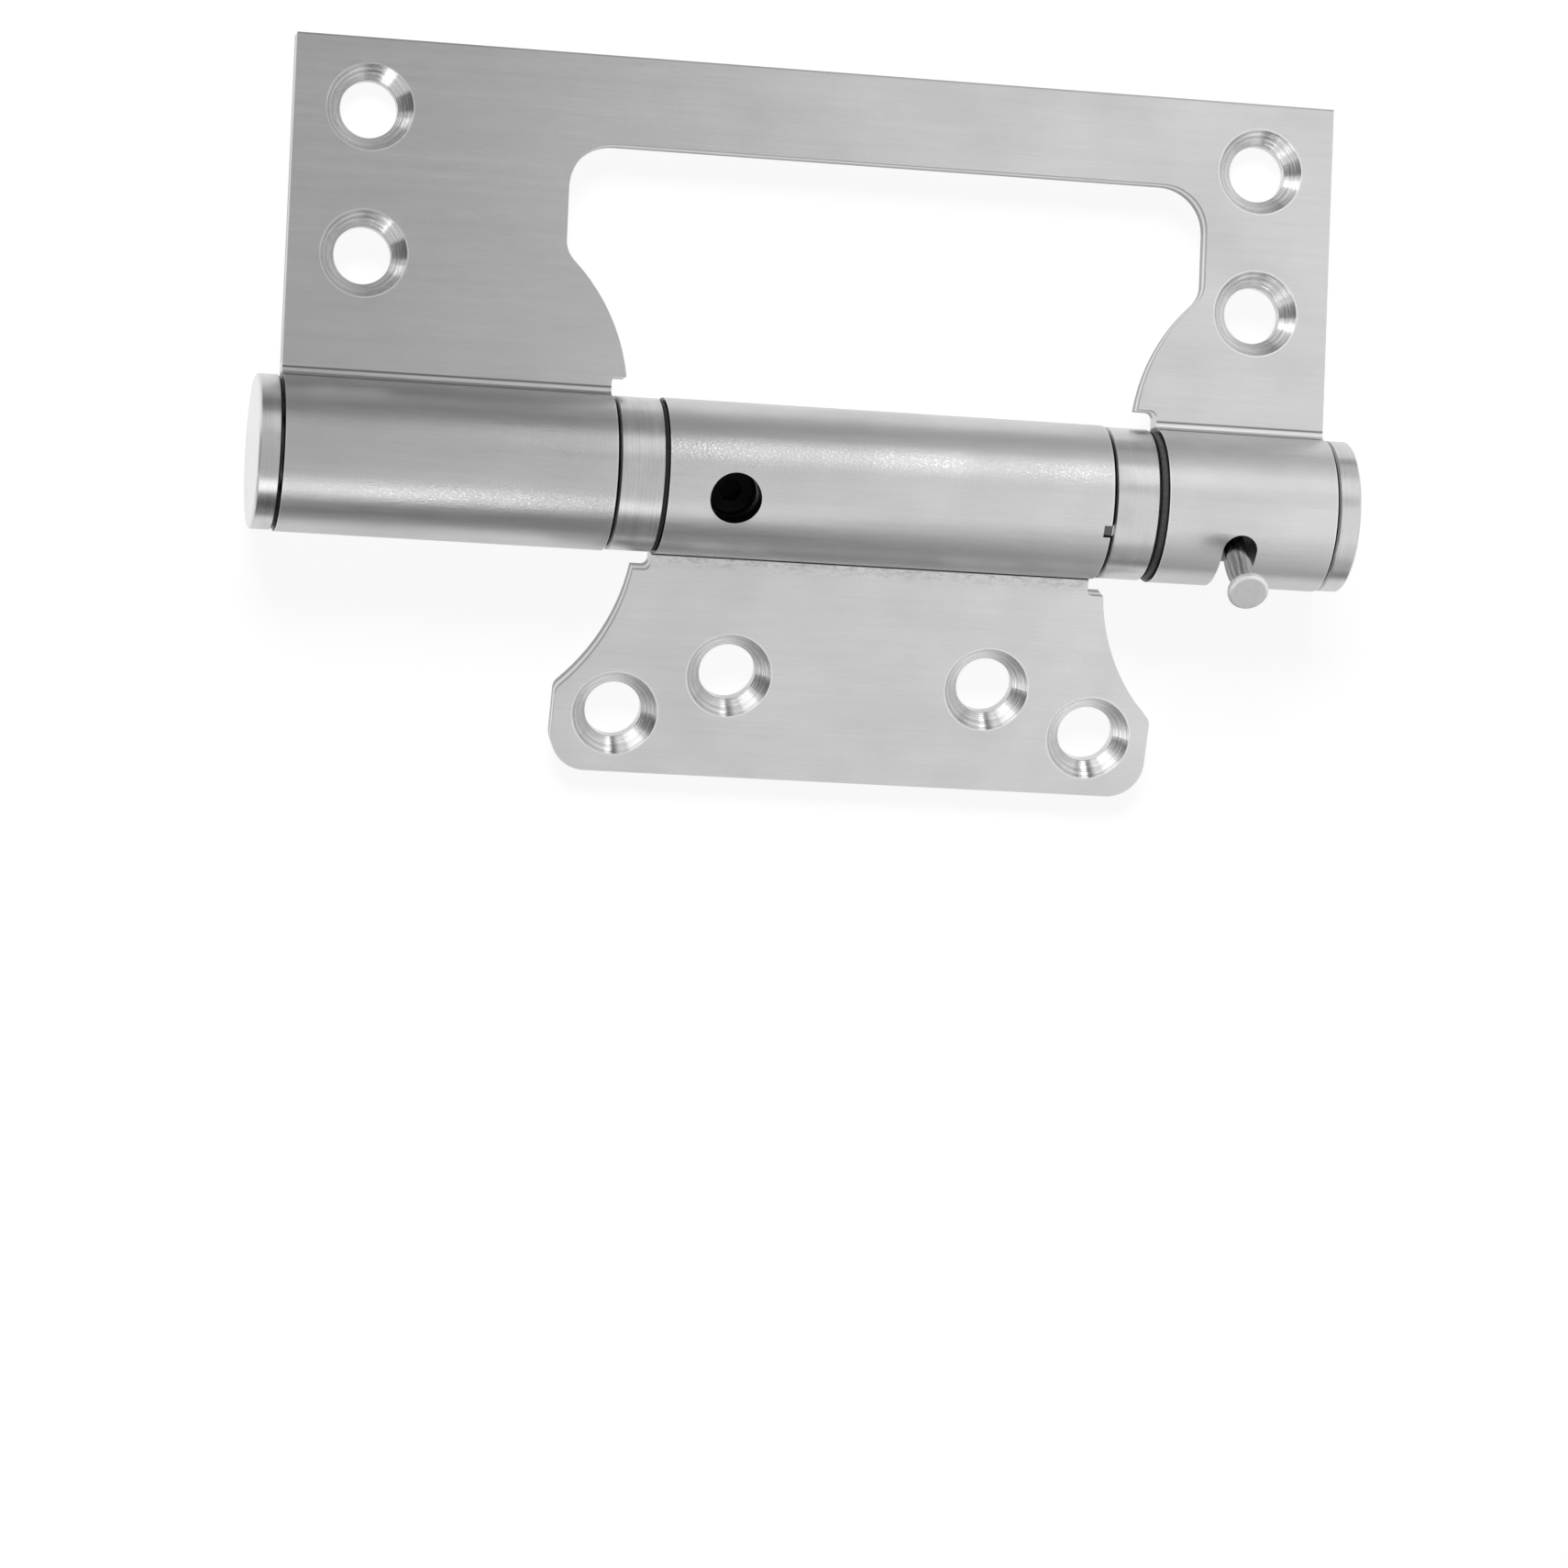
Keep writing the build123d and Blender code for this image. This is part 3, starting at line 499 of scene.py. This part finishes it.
# Materials of the CAD nodes
# The inner leaf's tone is a little lighter than the outer's, as painted light
dress(brushed_sheet("outer_sheet", OUTER_OUT, crease, OUTER_SINKS, OUTER_ENDS, tone=0.67, sparkle_angle=111.0,
                    coarse=1.15, dark_cut=0.60),
      "outer_leaf")
dress(brushed_sheet("inner_sheet", INNER_OUT, seam, INNER_SINKS, INNER_ENDS, tone=0.69, sparkle_angle=66.0,
                    coarse=0.8, dark_cut=0.66),
      "inner_leaf")
dress(turned("turned_collar", 0.58, 0.74, 0.27, 0.39, rims=LEFT_COLLAR, open_from=60.0), "left_collar")
dress(turned("keyed_collar", 0.63, 0.73, 0.26, 0.34, rims=RIGHT_COLLAR, key=RIGHT_COLLAR_KEY, open_from=60.0),
      "right_collar")
dress(turned("turned_cap", 0.62, 0.72, 0.26, 0.34, rims=CAP_RIMS, open_from=65.0, outer_face=0.84),
      "left_end_cap", "right_end_cap")
dress(turned("turned_drum", 0.05, 0.12, 0.3, 0.45, 5.0), "winding_drum")
dress(turned("ground_steel", 0.36, 0.5, 0.2, 0.34, 6.0),
      "damper_cylinder", "damper_shaft", "piston", "ball_retainer", "drive_plug", "winding_spindle",
      "cross_pin", "check_ball", "shaft_clip")
dress(drawn_pin(), "tension_pin")
dress(black_oxide(), "grub_screw", "drum_screw")
dress(moulded("black_nylon", 0.03, 0.07, 0.5, NYLON_WASHER), "nylon_washer")
dress(moulded("black_shim", 0.006, 0.012, 0.6), "thrust_washer")
dress(moulded("seal_rubber", 0.008, 0.02, 0.7), "piston_ring", "gland_seal", "shaft_seal")
dress(spring_wire(), "torsion_spring")


def plane(name, size, location):
    """Square plane that is no part of the object"""
    bpy.ops.mesh.primitive_plane_add(size=size, location=location)
    made = bpy.context.object
    made.name = name
    return made


def floor():
    """Floor that shows white to the camera and in reflections, and keeps a soft shadow"""
    made, tree = blank("floor")
    diffuse = tree.add("ShaderNodeBsdfDiffuse")
    diffuse.inputs["Color"].default_value = (0.85, 0.85, 0.85, 1)
    glow = tree.add("ShaderNodeEmission")
    glow.inputs["Strength"].default_value = 1.1
    path = tree.add("ShaderNodeLightPath")
    mirrored = tree.math("MAXIMUM", path.outputs["Is Glossy Ray"], path.outputs["Is Transmission Ray"])
    mix = tree.add("ShaderNodeMixShader")
    tree.link(tree.sum((0.8, path.outputs["Is Camera Ray"]), (0.6, mirrored)), mix.inputs[0])
    tree.link(diffuse.outputs[0], mix.inputs[1])
    tree.link(glow.outputs[0], mix.inputs[2])
    tree.surface(mix)
    plane("floor", 6.0, (0, 0, -0.0002)).data.materials.append(made)


def panel(name, location, rotation, width, height, low, high, ramp):
    """Studio card seen only in reflections, its grey going from low to high between two stations"""
    made, tree = blank(name)
    local = tree.split(tree.add("ShaderNodeTexCoord").outputs["Object"])[0]
    station = tree.math("ADD", tree.times(local, width), location[0])
    glow = tree.add("ShaderNodeEmission")
    tree.link(tree.span(station, ramp[0], ramp[1], low, high), glow.inputs["Strength"])
    tree.surface(glow)
    card = plane(name, 1.0, location)
    card.scale = (width, height, 1.0)
    card.rotation_euler = rotation
    card.visible_camera = False
    card.visible_diffuse = False
    card.visible_shadow = False
    card.visible_transmission = False
    card.data.materials.append(made)


def arc(name, x_from, x_to, angle_from, angle_to, low, high=None, ramp=(0.0, 0.3), distance=0.9):
    """Card along the barrel, between two angles from +Y seen from its axis"""
    middle = radians((angle_from + angle_to) / 2)
    height = 2 * distance * tan(radians((angle_to - angle_from) / 2))
    location = ((x_from + x_to) / 2, distance * cos(middle), distance * sin(middle))
    high = low if high is None else high
    panel(name, location, (middle + radians(90), 0, 0), x_to - x_from, height, low, high, ramp)


def spot(name, direction, distance, width, height, grey):
    """Card square to a direction from the origin"""
    location = Vector(direction).normalized() * distance
    panel(name, location, location.to_track_quat("Z", "Y").to_euler(), width, height, grey, grey, (0, 1))


def mat(name, y, grey):
    """Card that lies on the floor along the hinge"""
    panel(name, (0.0, y, 0.0002), (0, 0, 0), 2.0, 0.38, grey, grey, (0, 1))


def softbox(name, location, facing, width, height, watts):
    """Lamp that isn't seen in reflections"""
    lamp = bpy.data.lights.new(name, "AREA")
    lamp.shape = "RECTANGLE"
    lamp.size = width
    lamp.size_y = height
    lamp.energy = watts
    obj = bpy.data.objects.new(name, lamp)
    obj.location = location
    obj.rotation_euler = (Vector(facing) - Vector(location)).to_track_quat("-Z", "Y").to_euler()
    obj.visible_glossy = False
    bpy.context.scene.collection.objects.link(obj)


def studio_world():
    """World: white to the camera and in reflections, a plain level of light on the object"""
    world = bpy.data.worlds.new("studio")
    bpy.context.scene.world = world
    world.use_nodes = True
    tree = Nodes(world.node_tree)
    back = tree.add("ShaderNodeBackground")
    path = tree.add("ShaderNodeLightPath")
    seen = tree.math("MAXIMUM", path.outputs["Is Camera Ray"],
                     tree.math("MAXIMUM", path.outputs["Is Glossy Ray"], path.outputs["Is Transmission Ray"]))
    tree.link(tree.mix(seen, 0.45, 1.0), back.inputs["Strength"])
    tree.surface(back, "ShaderNodeOutputWorld")


# Floor, world, lamp and cards
floor()
studio_world()
softbox("key", (-0.2, 1.0, 1.0), (0, 0, 0), 0.7, 0.5, 15.0)
arc("overhead", -1.0, 1.0, 70, 129, 0.38, 1.12, (0.02, 0.30))
arc("back_high", -0.30, 0.13, 26, 70, 1.0, 0.03, (-0.14, 0.04))
arc("back_strip", 0.13, 0.30, 28, 57, 1.95)
arc("back_low", -0.25, 1.0, -6, 26, 0.05, 0.9, (0.12, 0.34))
arc("front_strip", -0.25, 0.12, 129, 147, 2.0)
arc("front_mid", 0.12, 0.26, 129, 152, 0.45)
arc("front_low", -0.25, 1.0, 150, 190, 0.0, 0.85, (0.14, 0.36))
spot("side_low", (-1.0, 0.0, 0.12), 1.3, 0.7, 0.8, 0.12)
spot("glint_front", (-0.164, -0.166, 0.09), 0.25, 0.085, 0.065, 2.2)
spot("glint_back", (-0.84, 0.54, 0.07), 1.2, 0.35, 0.4, 2.0)
spot("glint_high", (-0.66, 0.60, 0.50), 1.2, 0.7, 0.4, 1.5)
mat("behind", 0.25, 0.30)
mat("before", -0.25, 0.20)

# Camera at the photograph's place, in metres from the barrel's axis
CAMERA_X, CAMERA_Y, CAMERA_Z = -0.12457, 0.03089, 0.64108
camera = bpy.data.objects.new("camera", bpy.data.cameras.new("camera"))
bpy.context.scene.collection.objects.link(camera)
turn = Matrix((
    (0.98064, -0.04936, -0.18951),
    (0.06969, 0.99232, 0.10216),
    (0.18301, -0.11339, 0.97655),
))
camera.matrix_world = Matrix.Translation((CAMERA_X, CAMERA_Y + AXIS_Y, CAMERA_Z + AXIS_Z)) @ turn.to_4x4()
camera.data.lens = 125.07
camera.data.sensor_width = 36.0
camera.data.clip_start = 0.01
bpy.context.scene.camera = camera
bpy.context.scene.view_settings.view_transform = "Standard"
